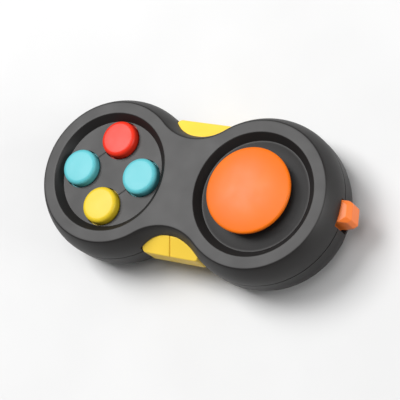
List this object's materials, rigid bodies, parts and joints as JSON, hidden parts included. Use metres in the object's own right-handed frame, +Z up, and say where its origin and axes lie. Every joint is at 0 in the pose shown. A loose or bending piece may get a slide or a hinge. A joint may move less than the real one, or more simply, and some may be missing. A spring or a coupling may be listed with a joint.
{
  "type": "fidget pad",
  "caption": "Two-lobed hand-held fidget pad with round push buttons in one well, a tilting thumb stick in the other, side triggers at the waist and a flip switch at one end.",
  "frame": {"origin": "centre of the flat underside, midway between the two lobe axes", "axes": "+Z up through the button face, +X along the two lobes towards the thumb stick and flip switch, +Y towards the single long trigger"},
  "size_m": [0.082, 0.0402, 0.0209],
  "materials": {
    "black_shell": "fine moulded satin",
    "black_inner": "moulded",
    "red_plastic": "satin",
    "teal_plastic": "satin",
    "yellow_plastic": "satin",
    "orange_plastic": "satin",
    "spring_steel": "drawn wire",
    "zinc_steel": "zinc plated"
  },
  "bodies": {
    "root": {"top_shell": "black_shell", "bottom_shell": "black_shell", "button_base": "black_inner", "button_spring_teal_right": "spring_steel", "button_spring_red": "spring_steel", "button_spring_teal_left": "spring_steel", "button_spring_yellow": "spring_steel", "stick_cradle": "black_inner", "stick_spring": "spring_steel", "trigger_spring_front_left": "spring_steel", "trigger_spring_front_right": "spring_steel", "trigger_springs_back": "spring_steel", "trigger_rail": "black_inner", "switch_pin": "spring_steel", "switch_leaf": "spring_steel", "housing_screws": "zinc_steel"},
    "button_teal_right": {"button_teal_right": "teal_plastic"},
    "button_red": {"button_red": "red_plastic"},
    "button_teal_left": {"button_teal_left": "teal_plastic"},
    "button_yellow": {"button_yellow": "yellow_plastic"},
    "gimbal": {"gimbal_ring": "black_inner", "stick_pin": "spring_steel"},
    "stick": {"stick_cap": "orange_plastic", "stick_post": "black_inner"},
    "trigger_front_left": {"trigger_front_left": "yellow_plastic"},
    "trigger_front_right": {"trigger_front_right": "yellow_plastic"},
    "trigger_back": {"trigger_back": "yellow_plastic"},
    "flip_switch": {"flip_switch": "orange_plastic"}
  },
  "joints": [
    {"name": "press_teal_right", "type": "slide", "parent": "root", "child": "button_teal_right", "axis": [0, 0, -1], "range_m": [0, 0.0013], "stiffness_N_per_m": 600, "springref_m": -0.0008, "deforming": ["button_spring_teal_right"]},
    {"name": "press_red", "type": "slide", "parent": "root", "child": "button_red", "axis": [0, 0, -1], "range_m": [0, 0.0013], "stiffness_N_per_m": 600, "springref_m": -0.0008, "deforming": ["button_spring_red"]},
    {"name": "press_teal_left", "type": "slide", "parent": "root", "child": "button_teal_left", "axis": [0, 0, -1], "range_m": [0, 0.0013], "stiffness_N_per_m": 600, "springref_m": -0.0008, "deforming": ["button_spring_teal_left"]},
    {"name": "press_yellow", "type": "slide", "parent": "root", "child": "button_yellow", "axis": [0, 0, -1], "range_m": [0, 0.0013], "stiffness_N_per_m": 600, "springref_m": -0.0008, "deforming": ["button_spring_yellow"]},
    {"name": "pull_front_left", "type": "slide", "parent": "root", "child": "trigger_front_left", "axis": [0, 1, 0], "range_m": [0, 0.0012], "stiffness_N_per_m": 600, "springref_m": -0.0008, "deforming": ["trigger_spring_front_left"]},
    {"name": "pull_front_right", "type": "slide", "parent": "root", "child": "trigger_front_right", "axis": [0, 1, 0], "range_m": [0, 0.0012], "stiffness_N_per_m": 600, "springref_m": -0.0008, "deforming": ["trigger_spring_front_right"]},
    {"name": "pull_back", "type": "slide", "parent": "root", "child": "trigger_back", "axis": [0, -1, 0], "range_m": [0, 0.0012], "stiffness_N_per_m": 1000, "springref_m": -0.0008, "deforming": ["trigger_springs_back"]},
    {"name": "stick_roll", "type": "hinge", "parent": "root", "child": "gimbal", "pos_m": [0.0195, 0, 0.0055], "axis": [1, 0, 0], "range_deg": [-9, 9], "stiffness_Nm_per_rad": 0.08, "deforming": ["stick_spring"]},
    {"name": "stick_pitch", "type": "hinge", "parent": "gimbal", "child": "stick", "pos_m": [0.0195, 0, 0.0055], "axis": [0, 1, 0], "range_deg": [-9, 9], "stiffness_Nm_per_rad": 0.08, "deforming": ["stick_spring"]},
    {"name": "switch_flip", "type": "hinge", "parent": "root", "child": "flip_switch", "pos_m": [0.0365, 0, 0.0085], "axis": [0, 0, 1], "range_deg": [-18, 0]}
  ]
}
